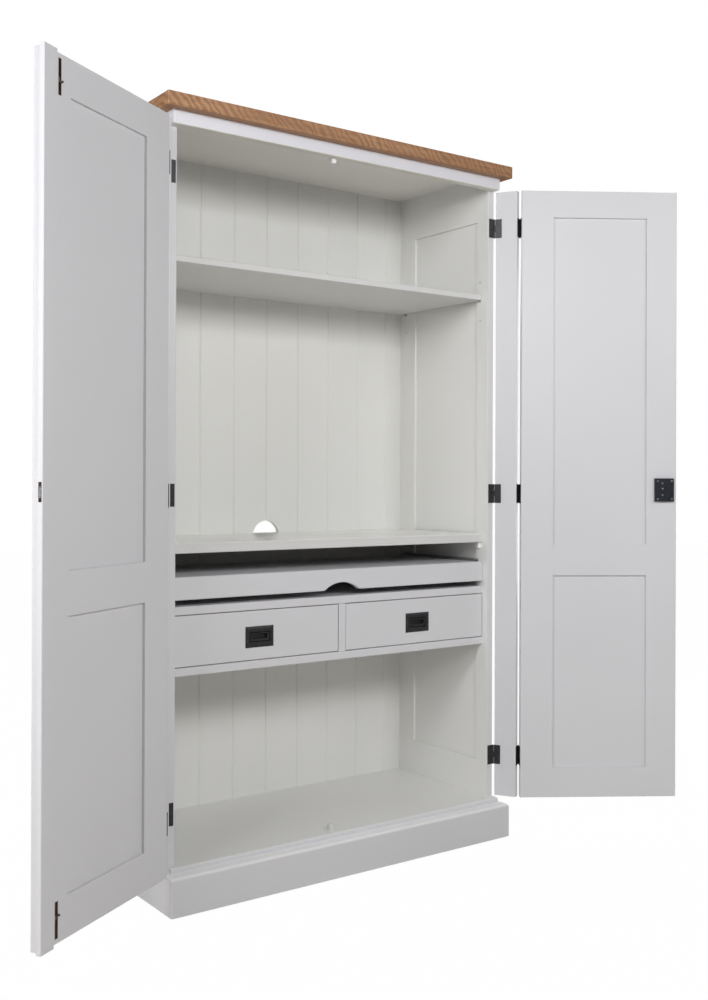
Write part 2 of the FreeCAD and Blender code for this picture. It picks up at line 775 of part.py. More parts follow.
def build_doors():
    """Two strips and two framed doors, with the left door's bolts and the right door's lock."""
    strip = box(strip_inner_x, strip_outer_x, face_y, door_back_y, door_bottom_z, door_top_z)
    strip = long_edges(strip, (strip_inner_x, strip_outer_x))
    hinge_stile_x = door_hinge_x - door_hinge_stile
    free_stile_x = door_free_x + door_free_stile
    hinge_stile = box(hinge_stile_x, door_hinge_x, face_y, door_back_y, door_bottom_z, door_top_z)
    hinge_stile = long_edges(hinge_stile, (door_hinge_x,))
    free_stile = box(door_free_x, free_stile_x, face_y, door_back_y, door_bottom_z, door_top_z)
    free_stile = long_edges(free_stile, (door_free_x,))
    middle_low = door_bottom_z + door_bottom_rail + door_lower_panel_height
    rail_spans = [
        (door_bottom_z, door_bottom_z + door_bottom_rail),
        (middle_low, middle_low + door_middle_rail),
        (door_top_z - door_top_rail, door_top_z),
    ]
    rails = [box(free_stile_x, hinge_stile_x, face_y, door_back_y, z0, z1) for z0, z1 in rail_spans]
    middle_y = (face_y + door_back_y) / 2
    tuck = panel_groove_depth - panel_edge_gap
    panels = []
    for (_, z0), (z1, _) in zip(rail_spans, rail_spans[1:]):
        panel_box = (
            free_stile_x - tuck, hinge_stile_x + tuck,
            middle_y - door_panel_thickness / 2, middle_y + door_panel_thickness / 2,
            z0 - tuck, z1 + tuck,
        )
        panels.append(box(*panel_box))
        slot = panel_slot(panel_box, "x")
        hinge_stile = hinge_stile.cut(slot)
        free_stile = free_stile.cut(slot)
        rails = [rail.cut(slot) for rail in rails]

    top_plate, top_bolt, top_room = build_bolt(door_top_z, -1)
    bottom_plate, bottom_bolt, bottom_room = build_bolt(door_bottom_z, 1)
    left_free_stile = free_stile.cut(top_room).cut(bottom_room)
    cover_strip, strike_plate = build_cover_strip()
    lock_case, lock_bolt, keyhole = build_lock()
    right_free_stile = free_stile.cut(keyhole)

    for side, stile in (("left", left_free_stile), ("right", right_free_stile)):
        save(side + "_strip_board", [hang(strip, side, False)])
        save(side + "_door_stiles", [hang(hinge_stile, side, True), hang(stile, side, True)])
        save(side + "_door_rails", [hang(rail, side, True) for rail in rails])
        save(side + "_door_panels", [hang(panel, side, True) for panel in panels])
    save("left_door_cover_strip", [hang(cover_strip, "left", True)])
    save("strike_plate", [hang(strike_plate, "left", True)])
    save("bolt_plates", [hang(plate, "left", True) for plate in (top_plate, bottom_plate)])
    save("top_bolt", [hang(top_bolt, "left", True)])
    save("bottom_bolt", [hang(bottom_bolt, "left", True)])
    save("lock_case", [hang(lock_case, "right", True)])
    save("lock_bolt", [hang(lock_bolt, "right", True)])


def lock_bolt_y():
    """The lock's bolt runs in the middle of its case."""
    return door_back_y + lock_thickness / 2


def build_cover_strip():
    """The strip over the meeting gap, with a pocket and a strike plate for the lock's bolt."""
    x0 = cover_strip_x
    y1 = door_back_y + cover_strip_thickness
    strip = box(x0, x0 + cover_strip_width, door_back_y, y1, door_bottom_z, door_top_z)
    strip = eased(
        strip,
        lambda middle: on_plane(middle.y, y1) and door_bottom_z < middle.z < door_top_z,
    )
    strip = strip.cut(
        box(x0, door_free_x, door_back_y, door_back_y + cover_strip_clearance, door_bottom_z, door_top_z)
    )
    half_y = lock_bolt_thickness / 2 + strike_clearance
    half_z = lock_bolt_height / 2 + strike_clearance
    depth = lock_throw - lock_strip_gap + pocket_spare_depth
    y = lock_bolt_y()
    pocket = box(x0, x0 + depth, y - half_y, y + half_y, lock_centre_z - half_z, lock_centre_z + half_z)
    plate = box(
        x0, x0 + strike_thickness, y - strike_width / 2, y + strike_width / 2,
        lock_centre_z - strike_height / 2, lock_centre_z + strike_height / 2,
    )
    return strip.cut(plate).cut(pocket), plate.cut(pocket)


def build_lock():
    """A surface lock with a sliding bolt, and the keyhole through the door."""
    x0 = lock_x
    x1 = lock_x + lock_width
    y1 = door_back_y + lock_thickness
    z0 = lock_centre_z - lock_height / 2
    z1 = lock_centre_z + lock_height / 2
    case = box(x0, x1, door_back_y, y1, z0, z1)
    case = rounded(case, lambda middle: on_plane(middle.y, y1), lock_edge_round)
    y = lock_bolt_y()
    half_y = lock_bolt_thickness / 2
    half_z = lock_bolt_height / 2
    slack = lock_bolt_clearance
    start = x0 + lock_bolt_sink
    channel = box(
        x0, start + lock_bolt_length + slack, y - half_y - slack, y + half_y + slack,
        lock_centre_z - half_z - slack, lock_centre_z + half_z + slack,
    )
    bolt = box(
        start, start + lock_bolt_length, y - half_y, y + half_y,
        lock_centre_z - half_z, lock_centre_z + half_z,
    )
    key_x = lock_x + keyhole_backset
    keyhole = rod(keyhole_radius, (key_x, face_y, lock_centre_z), BACKWARD, door_thickness).fuse(box(
        key_x - keyhole_slot_width / 2, key_x + keyhole_slot_width / 2, face_y, door_back_y,
        lock_centre_z - keyhole_slot_length, lock_centre_z,
    ))
    return case.cut(channel), bolt, keyhole


def build_stops():
    """Small stops behind the left door, one on the base board and one under the fascia."""
    x0 = -stop_from_middle - stop_width / 2
    x1 = x0 + stop_width
    y0 = door_back_y + stop_gap
    y1 = y0 + stop_depth
    foot = box(x0, x1, y0, y1, base_top_z, base_top_z + stop_foot_height)
    foot = eased(foot, lambda middle: on_plane(middle.z, base_top_z + stop_foot_height))
    lip_z = fascia_z - stop_lip_height
    head = prism([
        (x0, y0, lip_z), (x0, y1, lip_z), (x0, y1, fascia_z + stop_back_height),
        (x0, side_front_y, fascia_z + stop_back_height), (x0, side_front_y, fascia_z), (x0, y0, fascia_z),
    ], ACROSS * stop_width)
    save("door_stops", [foot, head])


def print_axes():
    """The resting places of the hinge axes, for whoever joins the pieces."""
    for side in ("left", "right"):
        shut = Part.Vertex(carcass_axis)
        fold = hang(Part.Vertex(fold_axis), side, False).Point
        carcass = (mirrored(shut) if side == "left" else shut).Point
        print(side, "carcass axis", round(carcass.x, 4), round(carcass.y, 4))
        print(side, "fold axis", round(fold.x, 4), round(fold.y, 4))
    print("overall height", top_z)


os.makedirs("parts", exist_ok=True)
build_plinth()
build_sides()
build_back()
build_base_and_top()
build_shelf()
build_worktop()
build_tray()
build_drawer_case()
build_drawers()
build_hinges()
build_doors()
build_stops()
print_axes()
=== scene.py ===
# Finishes, small fittings, light and camera for a computer armoire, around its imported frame.
# Metres. X runs to the right, Y to the back and Z up, from the middle of the plinth's front.
import json
import math

import bmesh
import bpy
from mathutils import Matrix, Vector

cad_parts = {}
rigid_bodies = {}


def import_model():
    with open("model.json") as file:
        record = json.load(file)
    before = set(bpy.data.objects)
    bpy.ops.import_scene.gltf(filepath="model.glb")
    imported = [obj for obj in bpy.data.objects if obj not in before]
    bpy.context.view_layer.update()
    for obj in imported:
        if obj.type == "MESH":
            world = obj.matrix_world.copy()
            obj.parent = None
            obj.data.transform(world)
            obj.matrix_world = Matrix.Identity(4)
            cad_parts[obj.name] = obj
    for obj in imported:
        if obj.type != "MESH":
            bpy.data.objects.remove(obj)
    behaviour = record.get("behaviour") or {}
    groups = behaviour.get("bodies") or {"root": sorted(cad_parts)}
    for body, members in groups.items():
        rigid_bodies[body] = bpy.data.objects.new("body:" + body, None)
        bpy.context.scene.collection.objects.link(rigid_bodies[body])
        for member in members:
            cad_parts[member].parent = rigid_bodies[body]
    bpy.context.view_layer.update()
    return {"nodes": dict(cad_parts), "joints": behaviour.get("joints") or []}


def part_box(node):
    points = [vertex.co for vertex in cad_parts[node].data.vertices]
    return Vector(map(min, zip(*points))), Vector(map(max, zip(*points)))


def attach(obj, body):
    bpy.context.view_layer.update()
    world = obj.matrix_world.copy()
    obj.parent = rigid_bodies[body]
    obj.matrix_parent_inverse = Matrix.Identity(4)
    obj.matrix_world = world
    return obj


for leftover in list(bpy.data.objects):
    bpy.data.objects.remove(leftover)
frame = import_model()
joints = {joint["name"]: joint for joint in frame["joints"]}
MM = 0.001


def turned(joint, degrees):
    """The turn of a hinge joint about its resting place."""
    pivot = Matrix.Translation(Vector(joint["pos_m"]))
    turn = Matrix.Rotation(math.radians(degrees), 4, Vector(joint["axis"]))
    return pivot @ turn @ pivot.inverted()


def opened(side, on_door):
    """From the shut place of a strip or door to its resting place."""
    swing = joints[side + "_strip_swing"]
    move = turned(swing, -swing["range_deg"][0])
    if on_door:
        fold = joints[side + "_door_fold"]
        move = turned(fold, -fold["range_deg"][0]) @ move
    return move


def shut_axis(side, line):
    """A point on the carcass's or the fold's line of hinges, with the door shut."""
    if line == "carcass":
        return Vector(joints[side + "_strip_swing"]["pos_m"])
    return opened(side, False).inverted() @ Vector(joints[side + "_door_fold"]["pos_m"])


def shut_box(name, side):
    """The lowest and highest corner of a node on a door, with the door shut."""
    shut = opened(side, True).inverted()
    places = [shut @ vertex.co for vertex in frame["nodes"][name].data.vertices]
    low = Vector([min(values) for values in zip(*places)])
    high = Vector([max(values) for values in zip(*places)])
    return low, high


class Signal:
    """A shader socket. Sums on it add Math nodes, and add() adds a node of any other kind."""

    def __init__(self, tree, socket=None):
        self.tree = tree
        self.socket = socket

    def add(self, kind, settings=(), sockets=(), output=0):
        """Add a node: its settings first, then the values or links of its sockets."""
        node = self.tree.nodes.new(kind)
        for name, value in dict(settings).items():
            if name == "stops":
                fill_ramp(node.color_ramp, value)
            else:
                setattr(node, name, value)
        for name, value in dict(sockets).items():
            if isinstance(value, Signal):
                self.tree.links.new(value.socket, node.inputs[name])
            else:
                node.inputs[name].default_value = value
        return Signal(self.tree, node.outputs[output] if node.outputs else None)

    def maths(self, operation, *values):
        """Add a Math node."""
        return self.add("ShaderNodeMath", {"operation": operation}, enumerate(values))

    def __add__(self, other):
        return self.maths("ADD", self, other)

    def __sub__(self, other):
        return self.maths("SUBTRACT", self, other)

    def __rsub__(self, other):
        return self.maths("SUBTRACT", other, self)

    def __mul__(self, other):
        return self.maths("MULTIPLY", self, other)

    def __abs__(self):
        return self.maths("ABSOLUTE", self)

    __radd__ = __add__
    __rmul__ = __mul__


def fill_ramp(ramp, stops):
    """Set a colour ramp's stops, each a place and a colour."""
    while len(ramp.elements) < len(stops):
        ramp.elements.new(0.5)
    for element, (place, colour) in zip(ramp.elements, stops):
        element.position = place
        element.color = (*colour, 1.0)


def new_finish(name):
    """A material with no nodes yet, and the start from which they are added."""
    material = bpy.data.materials.new(name)
    material.use_nodes = True
    material.node_tree.nodes.clear()
    return material, Signal(material.node_tree)


def placed(start, where, stretch=(1, 1, 1), turn=(0, 0, 0)):
    """A place turned and stretched."""
    return start.add(
        "ShaderNodeMapping", (), {"Vector": where, "Rotation": turn, "Scale": stretch}
    )


def spot(start, stretch=(1, 1, 1)):
    """The place on the piece in metres, stretched."""
    return placed(start, start.add("ShaderNodeTexCoord", output="Object"), stretch)


def noise(start, where, scale=1.0, detail=2.0, rough=0.5, bend=0.0):
    """Cloudy noise from 0 to 1."""
    return start.add("ShaderNodeTexNoise", (), {
        "Vector": where,
        "Scale": scale,
        "Detail": detail,
        "Roughness": rough,
        "Distortion": bend,
    })


def spread(start, value, low, high):
    """Stretch a value so that low becomes 0 and high becomes 1."""
    return start.add(
        "ShaderNodeMapRange", (), {"Value": value, "From Min": low, "From Max": high}
    )


def ramp(start, value, *stops):
    """A colour by value."""
    return start.add("ShaderNodeValToRGB", {"stops": stops}, {"Fac": value})


def blended(start, factor, one, other):
    """Two colours mixed."""
    return start.add("ShaderNodeMix", {"data_type": "RGBA"}, {0: factor, 6: one, 7: other}, 2)


def bumped(start, height, strength, depth):
    """A normal from a height."""
    return start.add(
        "ShaderNodeBump", (), {"Strength": strength, "Distance": depth, "Height": height}
    )


def surfaced(start, **sockets):
    """Close a material with one principled surface."""
    names = {name.replace("_", " "): value for name, value in sockets.items()}
    shader = start.add("ShaderNodeBsdfPrincipled", (), names)
    start.add("ShaderNodeOutputMaterial", (), {"Surface": shader})


def part_of(start, vector, axis):
    """One part of a place or direction."""
    return start.add("ShaderNodeSeparateXYZ", (), {"Vector": vector}, axis)


def facing_part(start, axis):
    """One part of the direction that a face looks in."""
    return part_of(start, start.add("ShaderNodeNewGeometry", output="Normal"), axis)


def reach_along(start, vector, direction):
    """How far a place or normal reaches in a direction."""
    settings = {"operation": "DOT_PRODUCT"}
    return start.add("ShaderNodeVectorMath", settings, {0: vector, 1: direction}, "Value")


# A choice of faces or places takes the start and the place on the piece, and gives 1 or 0
def faces_looking(axis, low, high):
    """A choice of faces by one part of the direction they look in: 0 up to low, 1 from high."""
    def chosen(start, where):
        return spread(start, facing_part(start, axis), low, high)

    return chosen


rear_faces = faces_looking("Y", 0.4, 0.6)
front_faces = faces_looking("Y", -0.4, -0.6)
upper_faces = faces_looking("Z", 0.3, 0.95)
lower_faces = faces_looking("Z", -0.4, -0.6)

# Middle of the carcass's side frames across, their panel recesses in depth, and half height
SIDE_FRAME_X = 524.5 * MM
RECESS_Y = 270.0 * MM
RECESS_HALF_DEPTH = 180.0 * MM
WAIST_Z = 1000.0 * MM


def side_outer_faces(start, where):
    """1 on the outer faces and the front and back edges of the carcass's sides, 0 inside."""
    aside = spread(start, part_of(start, where, "X") * facing_part(start, "X"), 0.1, 0.3)
    edges = spread(start, abs(facing_part(start, "Y")), 0.4, 0.8)
    return start.maths("MAXIMUM", aside, edges)


def recess_walls(start, where):
    """1 on the walls that look to the front inside the panel recesses of the carcass's sides, where
    a highlight is painted.
    """
    aside = abs(part_of(start, where, "X"))
    deep = abs(part_of(start, where, "Y") - RECESS_Y)
    inner = spread(start, aside, SIDE_FRAME_X + 1.5 * MM, SIDE_FRAME_X - 1.5 * MM)
    amid = spread(start, deep, RECESS_HALF_DEPTH + 10 * MM, RECESS_HALF_DEPTH - 10 * MM)
    return front_faces(start, where) * inner * amid


def hinge_side_wall_shade(start, where):
    """1 on the hinge side's wall of the panel recesses in the left door's inner face, where shade
    is painted.
    """
    move = opened("left", True)
    across = move.to_3x3() @ Vector((1, 0, 0))
    inward = move.to_3x3() @ Vector((0, 1, 0))
    low, high = shut_box("left_door_stiles", "left")
    middle = move @ ((low + high) / 2)
    normal = start.add("ShaderNodeTexCoord", output="Normal")
    looking = spread(start, reach_along(start, normal, across), 0.8, 0.95)
    aside = reach_along(start, where, across) - middle.dot(across)
    deep = reach_along(start, where, inward) - middle.dot(inward)
    hinge_half = spread(start, aside, 0.0, -20 * MM)
    inner_half = spread(start, deep, 0.0, 1 * MM)
    return looking * hinge_half * inner_half


def lower_places(start, where):
    """1 in the lower half of the armoire, 0 in the upper half."""
    return spread(start, part_of(start, where, "Z"), WAIST_Z + 100 * MM, WAIST_Z - 100 * MM)


def knuckle_highlight(start, where):
    """1 along the front of the carcass hinges' knuckles, where a highlight is painted."""
    axis = shut_axis("right", "carcass")
    aside = abs(part_of(start, where, "X")) - axis.x
    ahead = part_of(start, where, "Y") - axis.y
    away = start.maths("SQRT", aside * aside + ahead * ahead)
    ridge = spread(start, facing_part(start, "Y"), -0.86, -0.97)
    return spread(start, away, 3.0 * MM, 2.7 * MM) * ridge


TONE_PLACES = (0.3, 0.7)


def toned(start, value, tones, where=None, others=()):
    """Two tones mixed by a value.

    Each of the others is a choice of faces or places that have two tones of their own."""
    colour = ramp(start, value, *zip(TONE_PLACES, tones))
    for chosen, own_tones in others:
        own_colour = ramp(start, value, *zip(TONE_PLACES, own_tones))
        colour = blended(start, chosen(start, where), colour, own_colour)
    return colour


def painted(name, tones, *others, sheen=0.3):
    """Satin paint on wood: cloudy tone, a fine stipple and the faintest brush marks."""
    material, start = new_finish(name)
    where = spot(start)
    clouds = noise(start, where, scale=2.1, detail=3.0)
    stipple = noise(start, where, scale=620.0, detail=1.0)
    strokes = noise(start, spot(start, (150, 150, 7)), detail=4.0, rough=0.6)
    tone = clouds * 0.7 + strokes * 0.1 + stipple * 0.2
    height = strokes * 0.4 + stipple * 0.6
    surfaced(
        start,
        Base_Color=toned(start, tone, tones, where, others),
        Roughness=sheen + clouds * 0.12 + strokes * 0.05,
        Normal=bumped(start, height, strength=0.06, depth=0.4 * MM),
    )
    return material


def slanting_figure(start, where):
    """Wavy streaks that slant across upright faces, fading in and out along the board."""
    lean = placed(start, where, turn=(0, math.radians(42), 0))
    streaks = start.add(
        "ShaderNodeTexWave",
        {"wave_profile": "SIN"},
        {"Vector": lean, "Scale": 19.0, "Distortion": 11.0, "Detail": 4.0, "Detail Scale": 0.75},
        "Fac",
    )
    upright = 1 - abs(facing_part(start, "Z"))
    patches = spread(start, noise(start, where, scale=5.0, detail=1.0), 0.34, 0.6)
    return 0.5 + (streaks - 0.5) * upright * (0.3 + patches * 0.7)


BOARD_WIDTH = 118.0 * MM
BOARD_JOINT = 0.6 * MM
OAK_STOPS = (
    (0.28, (0.159, 0.071, 0.032)),
    (0.44, (0.302, 0.148, 0.070)),
    (0.58, (0.419, 0.219, 0.109)),
    (0.76, (0.562, 0.321, 0.171)),
)
OAK_PORE_COLOUR = (0.095, 0.042, 0.020, 1)
OAK_JOINT_COLOUR = (0.06, 0.03, 0.015, 1)


def sawn_oak(name):
    """Oiled oak boards along X.

    They have growth lines, open pores, joints between boards and a slanting figure on the edges."""
    material, start = new_finish(name)
    where = spot(start)
    apart = part_of(start, where, "Y")
    board = start.maths("FLOOR", apart * (1 / BOARD_WIDTH))
    shift = start.add("ShaderNodeTexWhiteNoise", {"noise_dimensions": "1D"}, {"W": board})
    slide = start.add(
        "ShaderNodeCombineXYZ", (), {"X": shift * 3.0, "Y": shift * 0.7, "Z": shift * 0.4}
    )
    boards = start.add("ShaderNodeVectorMath", {"operation": "ADD"}, {0: where, 1: slide})
    along_grain = placed(start, boards, (2.2, 46, 46))
    growth = noise(start, along_grain, detail=5.0, rough=0.62, bend=0.9)
    fibres = noise(start, placed(start, boards, (9, 420, 420)), detail=3.0, rough=0.6)
    pores = spread(start, noise(start, placed(start, boards, (34, 760, 760))), 0.60, 0.74)
    across_grain = placed(start, boards, (16, 60, 190), (0, math.radians(28), 0))
    flecks = noise(start, across_grain, detail=3.0, rough=0.6)
    figure = slanting_figure(start, where)
    tone = growth * 0.4 + fibres * 0.2 + flecks * 0.2 + figure * 0.2 + shift * 0.1 - 0.03
    joint = 1 - spread(start, start.maths("PINGPONG", apart, BOARD_WIDTH / 2), 0.0, BOARD_JOINT)
    colour = ramp(start, tone, *OAK_STOPS)
    colour = blended(start, pores * 0.55, colour, OAK_PORE_COLOUR)
    colour = blended(start, joint * 0.6, colour, OAK_JOINT_COLOUR)
    height = growth * 0.3 + fibres * 0.35 + flecks * 0.35 - pores * 0.5 - joint
    surfaced(
        start,
        Base_Color=colour,
        Roughness=0.48 + fibres * 0.2 + pores * 0.1,
        Normal=bumped(start, height, strength=0.45, depth=0.6 * MM),
    )
    return material


DRAWER_WOOD_STOPS = (
    (0.32, (0.42, 0.27, 0.14)),
    (0.5, (0.60, 0.43, 0.25)),
    (0.7, (0.70, 0.54, 0.35)),
)


def pale_wood(name):
    """Clear-lacquered pale wood with its grain along Y."""
    material, start = new_finish(name)
    growth = noise(start, spot(start, (34, 2.4, 34)), detail=5.0, rough=0.6, bend=0.8)
    fibres = noise(start, spot(start, (380, 9, 380)), detail=3.0, rough=0.6)
    tone = growth * 0.7 + fibres * 0.3
    surfaced(
        start,
        Base_Color=ramp(start, tone, *DRAWER_WOOD_STOPS),
        Roughness=0.4 + fibres * 0.15,
        Normal=bumped(start, tone, strength=0.2, depth=0.3 * MM),
    )
    return material


def metal(name, tones, *others, roughness, metallic, grain, stretch=(1, 1, 1)):
    """Metal with a mottled skin: cast and blacked, aged or brushed."""
    material, start = new_finish(name)
    where = spot(start, stretch)
    mottle = noise(start, where, scale=grain * 0.12, detail=3.0)
    skin = noise(start, where, scale=grain, detail=3.0, rough=0.6)
    tone = mottle * 0.6 + skin * 0.4
    surfaced(
        start,
        Base_Color=toned(start, tone, tones, where, others),
        Metallic=metallic,
        Roughness=roughness + tone * 0.22,
        Normal=bumped(start, skin, strength=0.25, depth=0.2 * MM),
    )
    return material


def moulded_plastic(name, tones):
    """Plastic with a fine moulded grain."""
    material, start = new_finish(name)
    where = spot(start)
    grain = noise(start, where, scale=1400.0)
    clouds = noise(start, where, scale=30.0)
    surfaced(
        start,
        Base_Color=toned(start, clouds, tones),
        Roughness=0.4 + grain * 0.15,
        Normal=bumped(start, grain, strength=0.15, depth=0.1 * MM),
    )
    return material


def bare_wood(name, tones):
    """Raw wood at a cut edge."""
    material, start = new_finish(name)
    fibres = noise(start, spot(start, (500, 500, 30)), detail=3.0)
    surfaced(
        start,
        Base_Color=toned(start, fibres, tones),
        Roughness=0.7 + fibres * 0.1,
        Normal=bumped(start, fibres, strength=0.3, depth=0.2 * MM),
    )
    return material


# Darker and lighter tone of each finish
COOL_TONES = (0.684, 0.680, 0.702), (0.710, 0.706, 0.728)
# Painted light: a lighter, warmer copy of the white paint for the faces inside the carcass,
# standing in for the light inside
INSIDE_LIT_TONES = (0.834, 0.832, 0.808), (0.856, 0.854, 0.830)
SHELF_TONES = (0.700, 0.698, 0.690), (0.722, 0.720, 0.712)
# Painted light: the worktop's top is painted lighter than its edges
WORKTOP_LIT_TONES = (0.870, 0.868, 0.845), (0.890, 0.888, 0.865)
# Painted light: the plinth's top faces are painted lighter than its front
PLINTH_TOP_LIT_TONES = (0.945, 0.945, 0.940), (0.960, 0.960, 0.955)
# Painted highlight: the sides' recess walls that look to the front are painted lighter, standing in
# for light falling on them
RECESS_LIT_TONES = (0.950, 0.945, 0.915), (0.965, 0.960, 0.930)
# Painted shade: the hinge side's recess wall in the left door's inner face is painted darker,
# standing in for the shadow on it
HINGE_SIDE_SHADE_TONES = (0.470, 0.467, 0.480), (0.490, 0.487, 0.500)
# Painted light: the fascia is a lighter, bluer copy of the white paint
FASCIA_LIT_TONES = (0.740, 0.742, 0.790), (0.766, 0.768, 0.816)
# Painted light: the fascia's underside is lighter and warmer still, in place of the shade under it
UNDERSIDE_LIT_TONES = (0.810, 0.795, 0.730), (0.830, 0.815, 0.750)
# Painted light: the ceiling panel is painted lighter, in place of the light bounced up onto it
CEILING_LIT_TONES = (0.905, 0.892, 0.835), (0.925, 0.912, 0.855)
CLEAN_TONES = (0.88, 0.88, 0.87), (0.93, 0.93, 0.92)
# Painted shade: the door stops in the lower half are painted grey
STOP_SHADE_TONES = (0.670, 0.670, 0.660), (0.690, 0.690, 0.680)
IRON_TONES = (0.020, 0.020, 0.022), (0.052, 0.052, 0.056)
BLUED_TONES = (0.009, 0.011, 0.016), (0.025, 0.028, 0.038)
WORN_IRON_TONES = (0.110, 0.110, 0.115), (0.300, 0.300, 0.310)
# Painted highlight: a light line along the front of the carcass hinges' knuckles
KNUCKLE_HIGHLIGHT_TONES = (0.150, 0.150, 0.155), (0.360, 0.360, 0.370)
BRONZE_TONES = (0.018, 0.014, 0.012), (0.060, 0.044, 0.034)
WORN_BRONZE_TONES = (0.070, 0.052, 0.044), (0.240, 0.190, 0.160)
STEEL_TONES = (0.42, 0.42, 0.43), (0.58, 0.58, 0.59)
CUT_WOOD_TONES = (0.50, 0.37, 0.33), (0.64, 0.50, 0.46)

cool_paint = painted("cool_white_paint", COOL_TONES)
# Painted light: the back boards' inner faces take the lighter warm copy of the paint, their rear
# faces the plain paint
back_paint = painted("back_white_paint", INSIDE_LIT_TONES, (rear_faces, COOL_TONES))
# Painted shade: the left door's stiles are darker on the hinge side's recess wall
stile_paint = painted("stile_white_paint", COOL_TONES, (hinge_side_wall_shade, HINGE_SIDE_SHADE_TONES))
# Painted light: the sides' inner faces take the lighter warm copy of the paint, their outer faces
# and edges the plain paint
side_paint = painted(
    # Painted highlight: the walls that look to the front in the sides' panel recesses are painted
    # lighter
    "side_white_paint", INSIDE_LIT_TONES, (side_outer_faces, COOL_TONES), (recess_walls, RECESS_LIT_TONES)
)
# Painted light: the base board's top takes the lighter warm copy of the paint, its edges the plain
# paint
base_paint = painted("base_white_paint", COOL_TONES, (upper_faces, INSIDE_LIT_TONES))
# Painted light: the plinth's top faces are painted lighter than its front and sides
plinth_paint = painted("plinth_white_paint", COOL_TONES, (upper_faces, PLINTH_TOP_LIT_TONES))
# Painted light: the fascia is a lighter copy of the paint, and its underside lighter again
fascia_paint = painted("fascia_white_paint", FASCIA_LIT_TONES, (lower_faces, UNDERSIDE_LIT_TONES))
shelf_paint = painted("shelf_white_paint", SHELF_TONES)
# Painted light: the worktop's top is lighter than its edges
glossy_paint = painted(
    "glossy_white_paint", SHELF_TONES, (upper_faces, WORKTOP_LIT_TONES), sheen=0.13
)
# Painted light: the ceiling panel is a lighter copy of the paint
ceiling_paint = painted("ceiling_white_paint", CEILING_LIT_TONES)
# Painted shade: the door stops in the lower half of the armoire are painted darker than the upper
# ones
stop_paint = painted("stop_white_paint", CLEAN_TONES, (lower_places, STOP_SHADE_TONES))
oak = sawn_oak("sawn_oak")
drawer_wood = pale_wood("drawer_wood")
black_iron = metal("black_iron", IRON_TONES, roughness=0.26, metallic=0.45, grain=900.0)
blued_iron = metal("blued_iron", BLUED_TONES, roughness=0.28, metallic=0.5, grain=900.0)
worn_iron = metal("worn_iron", WORN_IRON_TONES, roughness=0.24, metallic=0.7, grain=700.0)
# Painted highlight: a light line down the front of the carcass hinges' knuckles
hinge_iron = metal(
    "hinge_iron", IRON_TONES, (knuckle_highlight, KNUCKLE_HIGHLIGHT_TONES),
    roughness=0.26, metallic=0.45, grain=900.0,
)
aged_bronze = metal("aged_bronze", BRONZE_TONES, roughness=0.4, metallic=0.8, grain=800.0)
worn_bronze = metal("worn_bronze", WORN_BRONZE_TONES, roughness=0.3, metallic=0.7, grain=800.0)
bright_steel = metal(
    "bright_steel", STEEL_TONES, roughness=0.25, metallic=1.0, grain=300.0, stretch=(1, 0.05, 1)
)
white_plastic = moulded_plastic("white_plastic", CLEAN_TONES)
cut_wood = bare_wood("cut_wood", CUT_WOOD_TONES)

SLOT_FINISHES = {
    "white_paint": cool_paint,
    "oak": oak,
    "drawer_wood": drawer_wood,
    "black_iron": black_iron,
    "aged_bronze": aged_bronze,
    "bright_steel": bright_steel,
    "white_plastic": white_plastic,
}
OWN_FINISHES = {
    "left_side_stiles": side_paint,
    "left_side_rails": side_paint,
    "left_side_panel": side_paint,
    "right_side_stiles": side_paint,
    "right_side_rails": side_paint,
    "right_side_panel": side_paint,
    "back_boards": back_paint,
    "left_door_stiles": stile_paint,
    "base_board": base_paint,
    "plinth_front": plinth_paint,
    "plinth_returns": plinth_paint,
    "ceiling_panel": ceiling_paint,
    "shelf": shelf_paint,
    "worktop": glossy_paint,
    "left_carcass_hinges": hinge_iron,
    "right_carcass_hinges": hinge_iron,
    "lock_case": blued_iron,
    "lock_bolt": blued_iron,
    "top_bolt": worn_bronze,
    "bottom_bolt": worn_bronze,
    "fascia_rail": fascia_paint,
    "door_stops": stop_paint,
}


def dress_nodes():
    """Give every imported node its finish."""
    for name, node in frame["nodes"].items():
        slot = node.material_slots[0].material.name.split(".")[0]
        finish = OWN_FINISHES.get(name, SLOT_FINISHES[slot])
        for material_slot in node.material_slots:
            material_slot.material = finish


FRONTWARD = (0, -1, 0)
BACKWARD = (0, 1, 0)
RIGHTWARD = (1, 0, 0)
SQUARE_CORNERS = ((-1, -1), (1, -1), (1, 1), (-1, 1))


def facing(place, outward):
    """A frame at a place whose Z points outward and whose X is level."""
    z = Vector(outward).normalized()
    x = Vector((0, 0, 1)).cross(z).normalized()
    y = z.cross(x)
    turn = Matrix((x, y, z)).transposed().to_4x4()
    return Matrix.Translation(Vector(place)) @ turn


def door_place(side, place, outward):
    """A frame on a door, from its place and direction with the door shut."""
    return opened(side, True) @ facing(place, outward)


def round_points(mesh, place, radius, height, angles):
    """New points about Z at a height."""
    return [
        mesh.verts.new(place @ Vector((radius * math.cos(a), radius * math.sin(a), height)))
        for a in angles
    ]


ROUND_SEGMENTS = 20
HALF_HEAD_STEPS = 10


def add_lathe(mesh, profile, place):
    """Turn a profile of radius and height about Z, from the middle of the top outwards."""
    angles = [2 * math.pi * index / ROUND_SEGMENTS for index in range(ROUND_SEGMENTS)]
    rings = [
        round_points(mesh, place, radius, height, angles if radius else [0])
        for radius, height in profile
    ]
    for inner, outer in zip(rings, rings[1:]):
        for index in range(ROUND_SEGMENTS):
            following = (index + 1) % ROUND_SEGMENTS
            if len(inner) == 1:
                mesh.faces.new((inner[0], outer[index], outer[following]))
            else:
                mesh.faces.new((inner[index], outer[index], outer[following], inner[following]))
    mesh.faces.new(list(reversed(rings[-1])))


